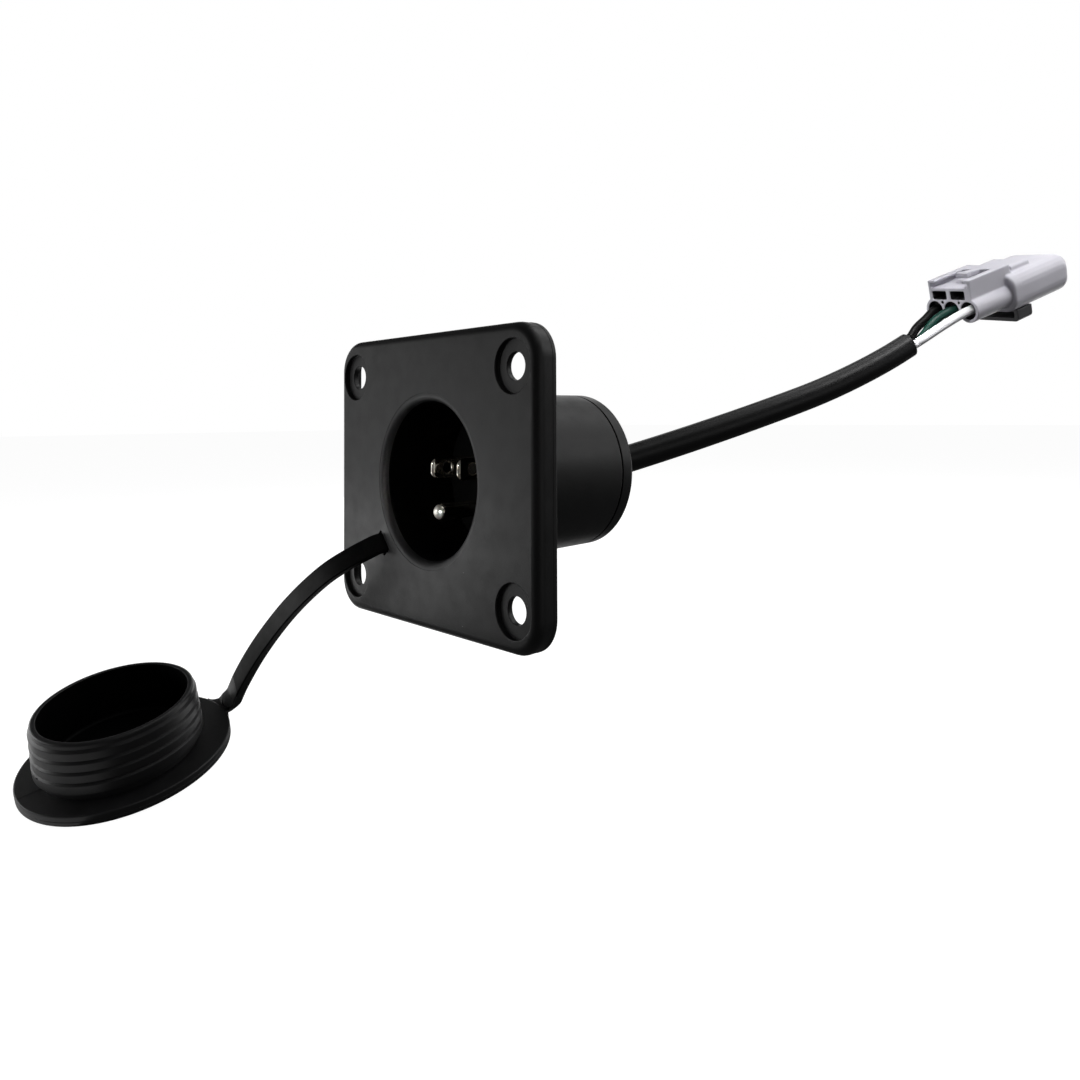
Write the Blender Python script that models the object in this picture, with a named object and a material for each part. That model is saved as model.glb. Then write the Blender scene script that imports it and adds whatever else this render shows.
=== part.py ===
"""Charger port plate: a panel plate with a recessed male inlet, its cable and connector,
and a tethered rubber cap.

Run with: blender --background --python part.py
The plate stands upright and faces -Y. Its rear rim, which sits on the panel, is the plane y = 0,
the barrel runs to +Y behind the panel, and +Z is up. The origin is the centre of the rear rim.
All sizes are in millimetres.
"""
import math

import bmesh
import bpy
from mathutils import Matrix, Vector

MM = 0.001
FIT = 0.3                # gap between pieces that touch

# Flange plate
PLATE_W = 95.3
PLATE_H = 82.6
PLATE_D = 6.0            # front face to rear rim
PLATE_CORNER = 9.5
PLATE_EDGE = 2.3         # rounding of the front edge
FACE_T = 2.2             # wall of the front face
RIM_T = 1.4              # wall of the rim behind it
HOLE_IN_X = 9.55         # screw hole centres from the plate's sides
HOLE_IN_Z = 11.15        # and from its top and bottom
HOLE_R = 3.55
SINK_R = 6.9             # counterbore
SINK_D = 1.0

# Barrel
PORT_R = 22.1            # bore that the mating plug enters
PORT_ROUND = 2.2         # rounding of the bore's front edge
PORT_D = 22.7            # front face to the shoulder that stops the carrier
CHAMBER_R = 23.0         # wiring chamber behind the shoulder
BARREL_R = 24.6
BARREL_L = 46.5          # rear rim of the plate to the seam
CAP_T = 4.8              # rear cap
SPIGOT_L = 3.0
SPIGOT_T = 2.0
CAP_EDGE = 0.9

# Contact carrier, blades and ground pin
CARRIER_T = 9.0
BLADE_GAP = 12.7         # between the blades' centres
BLADE_Z = 3.0
BLADE_W = 6.35
BLADE_T = 1.5
BLADE_SET = 5.8          # blade tip behind the front face
BLADE_HOLE_R = 1.6
BLADE_HOLE_AT = 4.9      # from the tip
BLADE_CORNER = 1.7
GROUND_R = 2.4
GROUND_DROP = 11.9       # blades' centres down to the pin's axis
GROUND_LEAD = 2.9        # pin tip ahead of the blade tips
SHOULDER_T = 1.6         # collar behind the carrier that stops the contact pulling out
SHOULDER_OUT = 1.3
TAIL_W = 4.4
TAIL_R = 1.3

# Crimp terminals and the leads to the cable
CRIMP_SHARE = 0.293      # of the room behind the carrier that a crimp's length takes
TAIL_SHARE = 0.767       # of the crimp's length that the contact's tail takes
CRIMP_T = 0.8
LEAD_R = 1.6
LEAD_SPREAD = 2.1        # leads' axes from the cable's axis

# Cable. Here and below, places behind the plate have their Y measured from the barrel's seam.
CABLE_R = 4.82
CABLE_INSIDE = 0.5       # the jacket starts this far inside the grommet
CABLE_ROUTE = [(0, 3.5, 0), (0, 9.5, 0.1), (2.6, 19.5, 1.6), (8.2, 28.4, 4.4), (19.9, 44.7, 10.4),
               (33.3, 63.6, 17.8), (47.3, 83.4, 26.2), (57.1, 97.2, 33.4), (64.7, 107.8, 39.9),
               (69.6, 114.4, 44.6)]

# Grommet in the rear cap
GROMMET_NECK_R = 6.9
GROMMET_LIP_R = 8.8
GROMMET_LIP_T = 1.8

# Connector: its own frame has X along the row of wires, Y towards the mating end and Z up
CONN_AT = (84.0, 122.0, 57.6)
CONN_HEADING = 23.7
CONN_PITCH = 20.5
CONN_ROLL = 9.6
PITCH = 7.9              # between the wires
BORE_R = 3.5
TUBE_R = 4.75
TUBE_L = 23.5
BORE_L = 14.0
DECK_X = 10.1            # half width of the block above the tubes
DECK_Z = 8.9
DECK_L = 24.0
RAIL_TOP = 11.9          # guard rails of the latch
RAIL_T = 1.2
RAIL_LIP = 3.4
LIP_T = 1.1
LEVER_W = 5.6
LEVER_FROM = 8.0
LEVER_TOP = 12.4
LEVER_T = 1.8
WINDOW_W = 7.0
WINDOW_H = 3.3
WINDOW_Z = 5.9
WINDOW_PITCH = 8.7
WINDOW_SHIFT = -0.7      # the pair's middle from the connector's
WINDOW_D = 9.0
SHELL_X = 14.2           # half width of the shell
SHELL_LOW = -6.7
SHELL_TOP = 8.3
SHELL_FROM = 21.0
SHELL_TO = 54.8
SHELL_CORNER = 5.4
SHELL_REAR_ROUND = 1.2
SHELL_NOSE_ROUND = 3.4
SADDLE_TO = 37.0         # raised part of the shell's top that covers the latch
CAVITY_WALL = 2.2
CAVITY_FLOOR = 27.0
WIRE_R = 1.65
SEAL_FROM = 2.5
SEAL_L = 6.0
CONTACT_FROM = 12.5
CONTACT_W = 6.3
CONTACT_T = 0.8
CONTACT_TIP = 42.0

# Retainer under the connector
RETAINER_X = 10.4
RETAINER_FROM = 24.8
RETAINER_L = 9.0
RETAINER_H = 5.0
RETAINER_WALL = 1.7
TONGUE_W = 6.0
TONGUE_T = 1.6
TONGUE_D = 3.0

# Wires outside the jacket: start and way points
WIRE_WAYS = {
    "wire_black": ((68.8, 114.1, 46.6), (69.8, 115.7, 47.7), (71.7, 116.9, 51.1), (74.2, 120.7, 55.0)),
    "wire_green": ((68.8, 116.2, 43.3), (69.9, 117.9, 44.5), (74.1, 118.8, 48.7), (77.2, 119.6, 52.9),
                   (80.4, 120.5, 55.7)),
    "wire_white": ((71.7, 113.8, 44.2), (72.7, 115.5, 45.3), (77.0, 114.5, 47.4), (82.4, 115.1, 50.7),
                   (87.3, 116.6, 53.8)),
}

# Sealing cap: its own frame has Z along the plug and Y towards the strap
LID_AT = (-108.6, -46.3, -88.9)
LID_TILT_X = 10.5
LID_TILT_Y = 12.7
LID_TURN = 7.7
LID_R = 28.0
LID_T = 3.6
LID_SHIFT = 1.4          # the disc's centre lies this far from the plug's axis, towards the strap
PLUG_GAP = 0.2           # ribs to the port's bore
PLUG_L = 19.3
PLUG_WALL = 1.9
NECK_R = 20.3
NECK_L = 3.0
RIB_PITCH = 3.6
RIB_COUNT = 4
RIB_DEPTH = 0.9
RIB_BEVEL = 0.9
PLUG_TAPER = 0.6         # the last rib is this much smaller in radius than the first
CUP_FLOOR = 2.0

# Strap
STRAP_W = 6.0            # at the slot
STRAP_T = 2.1
STRAP_END_W = 6.8        # at the elbow
STRAP_END_T = 3.0
SLOT_AT = 29.7           # from the port's axis
SLOT_ANGLE = 220.3
SLOT_END_GAP = 0.4
SLOT_SIDE_GAP = 0.55
TEE_W = 10.4             # bar that holds the strap behind the plate
TEE_H = 2.8
TEE_T = 1.8
TEE_GAP = 0.65
STRAP_GROW = 12.0        # from here on the strap widens towards the elbow
STRAP_IN_T = 2.3         # where it joins the cap's disc
STRAP_IN_L = 4.5         # length of the strap's end that lies inside the disc
TWIST_L = 14.0           # the strap turns into the disc's plane over this length
LUG_T = 2.6              # lug on the disc that the strap rises from
LUG_FILLET = 2.8
LUG_OUT = 2.8            # beyond the disc's edge
LUG_IN = 3.0
# Way points: distance from the slot towards the cap, and Y
STRAP_WAY = [(0.4, -7.4), (2.6, -9.5), (7.1, -12.9), (13.4, -16.2), (23.0, -18.5), (35.2, -19.8),
             (47.9, -20.0), (62.2, -19.5), (74.8, -18.5), (84.0, -17.5), (92.0, -16.5), (99.0, -15.4),
             (105.0, -14.7)]

BLACK = (0.016, 0.016, 0.017)
BRIGHT = (0.75, 0.75, 0.73)


def material(name, colour, roughness, metallic=0.0):
    made = bpy.data.materials.new(name)
    made.use_nodes = True
    shader = made.node_tree.nodes["Principled BSDF"]
    shader.inputs["Base Color"].default_value = (*colour, 1.0)
    shader.inputs["Roughness"].default_value = roughness
    shader.inputs["Metallic"].default_value = metallic
    made.diffuse_color = (*colour, 1.0)
    return made


def skin(name, loops, look=None, closed=False, origin=(0, 0, 0), parent=None):
    """A solid through loops of points. A loop of one point is a pole; closed joins the last
    loop to the first."""
    mesh = bmesh.new()
    shift = Vector(origin)
    rings = [[mesh.verts.new((Vector(p) - shift) * MM) for p in loop] for loop in loops]
    pairs = list(zip(rings, rings[1:]))
    if closed:
        pairs.append((rings[-1], rings[0]))
    for low, high in pairs:
        count = max(len(low), len(high))
        for i in range(count if count > 1 else 0):
            j = (i + 1) % count
            if len(low) == 1:
                mesh.faces.new((low[0], high[j], high[i]))
            elif len(high) == 1:
                mesh.faces.new((low[i], low[j], high[0]))
            else:
                mesh.faces.new((low[i], low[j], high[j], high[i]))
    if not closed:
        for ring in (rings[0], rings[-1]):
            if len(ring) > 2:
                mesh.faces.new(ring)
    bmesh.ops.recalc_face_normals(mesh, faces=mesh.faces)
    data = bpy.data.meshes.new(name)
    mesh.to_mesh(data)
    mesh.free()
    made = bpy.data.objects.new(name, data)
    bpy.context.collection.objects.link(made)
    made.location = shift * MM
    if parent:
        made.parent = parent
    if look:
        data.materials.append(look)
    return made


def smooth(made, angle=32):
    made.data.shade_smooth()
    made.data.set_sharp_from_angle(angle=math.radians(angle))
    return made


def boolean(target, tool, operation="DIFFERENCE"):
    """Cuts or joins the tool, which stays as a hidden guide."""
    tool.hide_render = True
    tool.display_type = "WIRE"
    change = target.modifiers.new(tool.name, "BOOLEAN")
    change.operation = operation
    change.object = tool
    return target


def ring(radius, along, count, axis="Y", centre=(0, 0)):
    """A circle of points about a line parallel to the axis; centre gives the other two coordinates."""
    points = []
    for i in range(count):
        turn = 2 * math.pi * i / count
        a, b = centre[0] + radius * math.cos(turn), centre[1] + radius * math.sin(turn)
        points.append((a, along, b) if axis == "Y" else (a, b, along))
    return points


def lathe(name, profile, count, look=None, axis="Y", centre=(0, 0), closed=False, parent=None):
    """Turns a profile of (radius, distance along the axis). A radius of zero makes a pole."""
    loops = []
    for radius, along in profile:
        loops.append(ring(radius, along, count if radius > 0 else 1, axis, centre))
    return smooth(skin(name, loops, look, closed, parent=parent))


def arc(centre, radius, start, stop, steps):
    """Points on an arc in a profile, from one angle to another in degrees."""
    turns = [math.radians(start + (stop - start) * i / steps) for i in range(steps + 1)]
    return [(centre[0] + radius * math.cos(t), centre[1] + radius * math.sin(t)) for t in turns]


def rounded_box(x0, x1, z0, z1, radius, steps=5):
    """Outline of a rectangle in X and Z with rounded corners."""
    corners = ((x1 - radius, z1 - radius, 0), (x0 + radius, z1 - radius, 90), (x0 + radius, z0 + radius, 180),
               (x1 - radius, z0 + radius, 270))
    points = []
    for x, z, turn in corners:
        points += arc((x, z), radius, turn, turn + 90, steps)
    return points


def prism(name, outline, y0, y1, look=None, parent=None):
    """An outline in X and Z, extruded along Y."""
    return skin(name, [[(x, y, z) for x, z in outline] for y in (y0, y1)], look, parent=parent)


def box(name, x, y, z, look=None, parent=None):
    outline = [(x[1], z[1]), (x[0], z[1]), (x[0], z[0]), (x[1], z[0])]
    return prism(name, outline, y[0], y[1], look, parent)


def smooth_curve(route, spacing):
    """Evenly spaced points on a smooth curve through the route's points (centripetal Catmull-Rom)."""
    way = [Vector(p) for p in route]
    way = [2 * way[0] - way[1]] + way + [2 * way[-1] - way[-2]]
    fine = []
    for a, b, c, d in zip(way, way[1:], way[2:], way[3:]):
        t1 = (b - a).length ** 0.5
        t2 = t1 + (c - b).length ** 0.5
        t3 = t2 + (d - c).length ** 0.5
        for i in range(24):
            t = t1 + (t2 - t1) * i / 24
            ab, bc, cd = a.lerp(b, t / t1), b.lerp(c, (t - t1) / (t2 - t1)), c.lerp(d, (t - t2) / (t3 - t2))
            abc, bcd = ab.lerp(bc, t / t2), bc.lerp(cd, (t - t1) / (t3 - t1))
            fine.append(abc.lerp(bcd, (t - t1) / (t2 - t1)))
    fine.append(way[-2])
    return evenly(fine, spacing)


def evenly(points, spacing):
    lengths = [0.0]
    for a, b in zip(points, points[1:]):
        lengths.append(lengths[-1] + (b - a).length)
    count = max(2, round(lengths[-1] / spacing))
    spaced, k = [], 0
    for i in range(count + 1):
        want = lengths[-1] * i / count
        while k < len(points) - 2 and lengths[k + 1] < want:
            k += 1
        span = lengths[k + 1] - lengths[k]
        spaced.append(points[k].lerp(points[k + 1], (want - lengths[k]) / span if span else 0.0))
    return spaced


def cord(name, points, radius, look, sides=2):
    curve = bpy.data.curves.new(name, "CURVE")
    curve.dimensions = "3D"
    curve.bevel_depth = radius * MM
    curve.bevel_resolution = sides
    curve.use_fill_caps = True
    spline = curve.splines.new("POLY")
    spline.points.add(len(points) - 1)
    for point, place in zip(spline.points, points):
        point.co = (*(Vector(place) * MM), 1.0)
    curve.materials.append(look)
    made = bpy.data.objects.new(name, curve)
    bpy.context.collection.objects.link(made)
    return made


def turned(matrix, loops):
    return [[matrix @ Vector(p) for p in loop] for loop in loops]


for old in list(bpy.data.objects):
    bpy.data.objects.remove(old, do_unlink=True)

plate_black = material("plate_plastic", (0.028, 0.028, 0.03), 0.42)
barrel_black = material("rear_cap_plastic", (0.026, 0.026, 0.028), 0.4)
carrier_black = material("carrier_plastic", BLACK, 0.55)
nickel = material("contact_metal", BRIGHT, 0.22, 1.0)
tin = material("terminal_metal", (0.62, 0.6, 0.56), 0.35, 1.0)
rubber = material("cap_rubber", (0.035, 0.035, 0.037), 0.55)
jacket_rubber = material("jacket_rubber", (0.02, 0.02, 0.021), 0.45)
grommet_rubber = material("grommet_rubber", BLACK, 0.6)
connector_grey = material("connector_plastic", (0.56, 0.56, 0.58), 0.4)
retainer_grey = material("retainer_plastic", (0.09, 0.09, 0.095), 0.4)
seal_rubber = material("seal_rubber", (0.05, 0.05, 0.055), 0.6)
wire_looks = {
    "black": material("insulation_black", (0.02, 0.02, 0.02), 0.35),
    "green": material("insulation_green", (0.04, 0.12, 0.09), 0.35),
    "white": material("insulation_white", (0.85, 0.85, 0.86), 0.35),
}

# Plate and barrel, one moulding. The rounded front edge is lofted through shrinking outlines.
loops = []
edge_steps = [(PLATE_EDGE - x, -PLATE_D + PLATE_EDGE + y)
              for x, y in arc((0, 0), PLATE_EDGE, -90, 0, 5)]
for inset, y in edge_steps + [(0.0, 0.0)]:
    outline = rounded_box(-PLATE_W / 2 + inset, PLATE_W / 2 - inset, -PLATE_H / 2 + inset, PLATE_H / 2 - inset,
                          PLATE_CORNER - inset, 7)
    loops.append([(x, y, z) for x, z in outline])
plate = skin("flange_plate", loops, plate_black)

front = -PLATE_D
face_back = front + FACE_T
pocket = prism("cut_pocket", rounded_box(-PLATE_W / 2 + RIM_T, PLATE_W / 2 - RIM_T, -PLATE_H / 2 + RIM_T,
                                         PLATE_H / 2 - RIM_T, PLATE_CORNER - RIM_T), face_back, 1.0)
boolean(plate, pocket)
barrel = lathe("add_barrel", [(BARREL_R, front + 2 * FACE_T / 3), (BARREL_R, BARREL_L)], 64)
boolean(plate, barrel, "UNION")

port_edge = arc((PORT_R + PORT_ROUND, front + PORT_ROUND), PORT_ROUND, 270, 180, 5)
shoulder = front + PORT_D
bore = lathe("cut_bore", [(0, front - 1), (PORT_R + PORT_ROUND, front - 1)] + port_edge +
             [(PORT_R, shoulder), (CHAMBER_R, shoulder), (CHAMBER_R, BARREL_L + 1), (0, BARREL_L + 1)], 64)
boolean(plate, bore)

# The strap's slot lies across a radius of the port, with its long side along the tangent.
slot_turn = math.radians(SLOT_ANGLE)
outward = Vector((math.cos(slot_turn), 0, math.sin(slot_turn)))
across = Vector((-math.sin(slot_turn), 0, math.cos(slot_turn)))
slot_mid = outward * SLOT_AT
slot_half_w = STRAP_W / 2 + SLOT_END_GAP
slot_half_t = STRAP_T / 2 + SLOT_SIDE_GAP
slot_corners = [slot_mid + across * a * slot_half_w + outward * b * slot_half_t
                for a, b in ((-1, -1), (1, -1), (1, 1), (-1, 1))]
boolean(plate, prism("cut_slot", [(p.x, p.z) for p in slot_corners], front - 1, face_back + 1))

for i, (side, level) in enumerate(((-1, 1), (1, 1), (1, -1), (-1, -1))):
    hole = lathe(f"cut_hole_{i}", [(0, front - 1), (SINK_R, front - 1), (SINK_R, front + SINK_D),
                                   (HOLE_R, front + SINK_D), (HOLE_R, 1.0), (0, 1.0)], 24,
                 centre=(side * (PLATE_W / 2 - HOLE_IN_X), level * (PLATE_H / 2 - HOLE_IN_Z)))
    boolean(plate, hole)
smooth(plate)

# Rear cap with the spigot that locates it in the chamber
cap_front = BARREL_L + FIT
cap_back = BARREL_L + CAP_T
spigot_r = CHAMBER_R - FIT
grommet_hole = GROMMET_NECK_R + FIT
spigot_in = spigot_r - SPIGOT_T
cap_profile = [(grommet_hole, cap_front), (spigot_in, cap_front), (spigot_in, cap_front - SPIGOT_L),
               (spigot_r, cap_front - SPIGOT_L), (spigot_r, cap_front), (BARREL_R, cap_front)]
cap_profile += arc((BARREL_R - CAP_EDGE, cap_back - CAP_EDGE), CAP_EDGE, 0, 90, 3)
cap_profile.append((grommet_hole, cap_back))
lathe("rear_cap", cap_profile, 64, barrel_black, closed=True)

# Contact carrier, stopped by the shoulder, with slots for the contacts
carrier_front = shoulder + FIT
carrier_back = carrier_front + CARRIER_T
carrier = lathe("contact_carrier", [(CHAMBER_R - FIT, carrier_front), (CHAMBER_R - FIT, carrier_back)], 48,
                carrier_black)
ground_z = BLADE_Z - GROUND_DROP
blade_tip = front + BLADE_SET
shoulder_y = carrier_back + FIT
tail_y = shoulder_y + SHOULDER_T
crimp_l = CRIMP_SHARE * (BARREL_L - carrier_back)
tail_end = tail_y + TAIL_SHARE * crimp_l
for side, name in ((-1, "blade_line"), (1, "blade_neutral")):
    x = side * BLADE_GAP / 2
    boolean(carrier, box(f"cut_{name}", (x - BLADE_T / 2 - FIT, x + BLADE_T / 2 + FIT),
                         (carrier_front - 1, carrier_back + 1),
                         (BLADE_Z - BLADE_W / 2 - FIT, BLADE_Z + BLADE_W / 2 + FIT)))
    half = BLADE_W / 2
    tip = [(blade_tip + BLADE_CORNER + y, half - BLADE_CORNER + z)
           for y, z in arc((0, 0), BLADE_CORNER, 180, 90, 4)]
    upper = tip + [(shoulder_y, half), (shoulder_y, half + SHOULDER_OUT), (tail_y, half + SHOULDER_OUT),
                   (tail_y, TAIL_W / 2), (tail_end, TAIL_W / 2)]
    outline = upper + [(y, -z) for y, z in reversed(upper)]
    blade = skin(name, [[(x + s * BLADE_T / 2, y, BLADE_Z + z) for y, z in outline] for s in (-1, 1)], nickel)
    hole_y = blade_tip + BLADE_HOLE_AT
    hole = skin(f"cut_hole_{name}", [[(x + s * BLADE_T, hole_y + BLADE_HOLE_R * math.cos(t),
                                       BLADE_Z + BLADE_HOLE_R * math.sin(t))
                                      for t in [math.pi * i / 10 for i in range(20)]] for s in (-1, 1)])
    boolean(blade, hole)
    smooth(blade)
ground_slot = [(GROUND_R + FIT, carrier_front - 1), (GROUND_R + FIT, carrier_back + 1)]
boolean(carrier, lathe("cut_ground", ground_slot, 24, centre=(0, ground_z)))
smooth(carrier)
pin_tip = blade_tip - GROUND_LEAD
pin_nose = [(GROUND_R * math.sin(t), pin_tip + GROUND_R * (1 - math.cos(t)))
            for t in [math.pi / 2 * i / 6 for i in range(7)]]
lathe("ground_pin", pin_nose + [(GROUND_R, shoulder_y), (GROUND_R + SHOULDER_OUT, shoulder_y),
                                (GROUND_R + SHOULDER_OUT, tail_y), (TAIL_R, tail_y), (TAIL_R, tail_end)],
      24, nickel, centre=(0, ground_z))

# Crimp terminals over the tails, and the leads from them to the end of the cable
crimp_y = tail_y + FIT
crimp_end = crimp_y + crimp_l
contact_axes = {"line": (-BLADE_GAP / 2, BLADE_Z), "neutral": (BLADE_GAP / 2, BLADE_Z),
                "ground": (0.0, ground_z)}
for name, (x, z) in contact_axes.items():
    if name == "ground":
        inner = TAIL_R + FIT
        lathe("terminal_ground", [(inner + CRIMP_T, crimp_y), (inner + CRIMP_T, crimp_end), (0, crimp_end),
                                  (0, tail_end + FIT), (inner, tail_end + FIT), (inner, crimp_y)],
              16, tin, centre=(x, z), closed=True)
    else:
        wide, deep = TAIL_W / 2 + FIT, BLADE_T / 2 + FIT
        terminal = box(f"terminal_{name}", (x - deep - CRIMP_T, x + deep + CRIMP_T), (crimp_y, crimp_end),
                       (z - wide - CRIMP_T, z + wide + CRIMP_T), tin)
        boolean(terminal, box(f"cut_terminal_{name}", (x - deep, x + deep),
                              (crimp_y - 1, tail_end + FIT), (z - wide, z + wide)))
jacket_y = BARREL_L - CABLE_INSIDE
lead_turns = {"line": 150, "neutral": 30, "ground": 270}
lead_looks = {"line": "black", "neutral": "white", "ground": "green"}
for name, (x, z) in contact_axes.items():
    turn = math.radians(lead_turns[name])
    x1, z1 = LEAD_SPREAD * math.cos(turn), LEAD_SPREAD * math.sin(turn)
    y0, y1 = crimp_end + FIT, jacket_y - FIT
    lead_l = y1 - y0
    route = [(x, y0, z), (x, y0 + lead_l / 8, z), (x1, y1 - lead_l / 4, z1), (x1, y1 - lead_l / 8, z1),
             (x1, y1, z1)]
    cord(f"lead_{lead_looks[name]}", smooth_curve(route, 1.4), LEAD_R, wire_looks[lead_looks[name]])

# Cable jacket and the grommet that holds it in the rear cap
cable_route = [(0, jacket_y, 0)] + [(x, BARREL_L + y, z) for x, y, z in CABLE_ROUTE]
cable_points = smooth_curve(cable_route, 2.4 * CABLE_R)
cord("cable_jacket", cable_points, CABLE_R, jacket_rubber, 4)
grip = CABLE_R + FIT
inner_lip = cap_front - FIT
outer_lip = cap_back + FIT
lathe("cable_grommet", [(grip, inner_lip - GROMMET_LIP_T), (GROMMET_LIP_R, inner_lip - GROMMET_LIP_T),
                        (GROMMET_LIP_R, inner_lip), (GROMMET_NECK_R, inner_lip), (GROMMET_NECK_R, outer_lip),
                        (GROMMET_LIP_R, outer_lip), (GROMMET_LIP_R - 0.8, outer_lip + GROMMET_LIP_T),
                        (grip, outer_lip + GROMMET_LIP_T)], 32, grommet_rubber, closed=True)

# Connector. Its pieces are built in its own frame and parented to an empty.
connector = bpy.data.objects.new("connector_frame", None)
bpy.context.collection.objects.link(connector)
behind = Vector((0, BARREL_L, 0))
connector.matrix_world = (Matrix.Translation((behind + Vector(CONN_AT)) * MM) @
                          Matrix.Rotation(math.radians(-CONN_HEADING), 4, "Z") @
                          Matrix.Rotation(math.radians(CONN_PITCH), 4, "X") @
                          Matrix.Rotation(math.radians(CONN_ROLL), 4, "Y"))
wire_x = [-PITCH, 0.0, PITCH]

shell_loops = []
for x, y in arc((0, 0), SHELL_REAR_ROUND, 180, 90, 3):
    shell_loops.append((SHELL_REAR_ROUND - y, SHELL_FROM + SHELL_REAR_ROUND + x))
for x, y in arc((0, 0), SHELL_NOSE_ROUND, 90, 0, 4):
    shell_loops.append((SHELL_NOSE_ROUND - y, SHELL_TO - SHELL_NOSE_ROUND + x))
housing = skin("connector_housing", [
    [(x, y, z) for x, z in rounded_box(-SHELL_X + inset, SHELL_X - inset, SHELL_LOW + inset,
                                       SHELL_TOP - inset, SHELL_CORNER - inset)]
    for inset, y in shell_loops], connector_grey, parent=connector)
saddle = prism("add_saddle", rounded_box(-DECK_X + 1.2, DECK_X - 1.2, 0, RAIL_TOP - 1.4, 1.2, 3),
               DECK_L - 3, SADDLE_TO, parent=connector)
boolean(housing, saddle, "UNION")
block = box("add_block", (-DECK_X, DECK_X), (0, DECK_L), (0.5, DECK_Z), parent=connector)
boolean(housing, block, "UNION")
for i, x in enumerate(wire_x):
    boolean(housing, lathe(f"add_tube_{i}", [(TUBE_R, -0.01 * (i + 1)), (TUBE_R, TUBE_L)], 32, centre=(x, 0),
                           parent=connector), "UNION")
for side, name in ((-1, "left"), (1, "right")):
    out, mid, lip = side * DECK_X, side * (DECK_X - RAIL_T), side * (DECK_X - RAIL_LIP)
    low, under = DECK_Z - 0.5, RAIL_TOP - LIP_T
    outline = [(out, low), (out, RAIL_TOP), (lip, RAIL_TOP), (lip, under), (mid, under), (mid, low)]
    boolean(housing, prism(f"add_rail_{name}", outline, 0.0, DECK_L + 0.5, parent=connector), "UNION")
lever = [(LEVER_FROM, LEVER_TOP - LEVER_T), (LEVER_FROM, LEVER_TOP), (LEVER_FROM + 1.5, LEVER_TOP + 0.3),
         (DECK_L + 2, RAIL_TOP - 1.0), (DECK_L + 2, RAIL_TOP - 2.4), (DECK_L - 4, RAIL_TOP - 2.4)]
boolean(housing, skin("add_lever", [[(s * LEVER_W / 2, y, z) for y, z in lever] for s in (-1, 1)],
                      parent=connector), "UNION")
for i, x in enumerate(wire_x):
    boolean(housing, lathe(f"cut_bore_{i}", [(BORE_R, -1), (BORE_R, BORE_L)], 24, centre=(x, 0),
                           parent=connector))
    boolean(housing, box(f"cut_way_{i}", (x - CONTACT_W / 2 - FIT, x + CONTACT_W / 2 + FIT),
                         (BORE_L - 1, CAVITY_FLOOR + 1), (-1.5 - FIT, 1.5 + FIT), parent=connector))
for i, x in enumerate((WINDOW_SHIFT - WINDOW_PITCH / 2, WINDOW_SHIFT + WINDOW_PITCH / 2)):
    boolean(housing, box(f"cut_window_{i}", (x - WINDOW_W / 2, x + WINDOW_W / 2), (-1, WINDOW_D),
                         (WINDOW_Z - WINDOW_H / 2, WINDOW_Z + WINDOW_H / 2), parent=connector))
cavity = prism("cut_cavity", rounded_box(-SHELL_X + CAVITY_WALL, SHELL_X - CAVITY_WALL,
                                         SHELL_LOW + CAVITY_WALL, SHELL_TOP - CAVITY_WALL,
                                         SHELL_CORNER - CAVITY_WALL),
               CAVITY_FLOOR, SHELL_TO + 1, parent=connector)
boolean(housing, cavity)
tongue_y = RETAINER_FROM + RETAINER_L / 2
boolean(housing, box("cut_tongue", (-TONGUE_W / 2 - FIT, TONGUE_W / 2 + FIT),
                     (tongue_y - TONGUE_T / 2 - FIT, tongue_y + TONGUE_T / 2 + FIT),
                     (SHELL_LOW - 1, SHELL_LOW + CAVITY_WALL + 1), parent=connector))
smooth(housing)

for i, x in enumerate(wire_x):
    y = SEAL_FROM
    seal = [(WIRE_R + FIT, y), (BORE_R - FIT, y)]
    for k in range(3):
        y0 = SEAL_FROM + SEAL_L * (k + 1) / 3
        seal += [(BORE_R - FIT, y0 - 0.8), (BORE_R - FIT - 0.5, y0 - 0.5)] if k < 2 else [(BORE_R - FIT, y0)]
        if k < 2:
            seal += [(BORE_R - FIT, y0)]
    seal.append((WIRE_R + FIT, SEAL_FROM + SEAL_L))
    lathe(f"wire_seal_{i + 1}", seal, 24, seal_rubber, centre=(x, 0), closed=True, parent=connector)
    half = CONTACT_W / 2
    outline = [(x + 1.9, CONTACT_FROM), (x + 1.9, BORE_L - 0.5), (x + half, BORE_L + 1.5),
               (x + half, CONTACT_TIP - 1.5), (x + half - 1.2, CONTACT_TIP)]
    outline += [(2 * x - a, b) for a, b in reversed(outline)]
    contact = skin(f"connector_terminal_{i + 1}",
                   [[(a, b, s * CONTACT_T / 2) for a, b in outline] for s in (-1, 1)], tin, parent=connector)

retainer_top = SHELL_LOW - FIT
low = retainer_top - RETAINER_H
outline = [(-RETAINER_X, retainer_top), (RETAINER_X, retainer_top)] + arc(
    (RETAINER_X - 1.5, low + 1.5), 1.5, 0, -90, 3) + arc((-RETAINER_X + 1.5, low + 1.5), 1.5, 270, 180, 3)
retainer = prism("connector_retainer", outline, RETAINER_FROM, RETAINER_FROM + RETAINER_L, retainer_grey,
                 parent=connector)
wall = RETAINER_WALL
boolean(retainer, box("cut_retainer", (-RETAINER_X + wall, RETAINER_X - wall),
                      (RETAINER_FROM - 1, RETAINER_FROM + RETAINER_L - 2.4), (low + wall, retainer_top - 1.0),
                      parent=connector))
boolean(retainer, box("add_tongue", (-TONGUE_W / 2, TONGUE_W / 2),
                      (tongue_y - TONGUE_T / 2, tongue_y + TONGUE_T / 2),
                      (retainer_top - 0.6, retainer_top + TONGUE_D), parent=connector), "UNION")
smooth(retainer)

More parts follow.
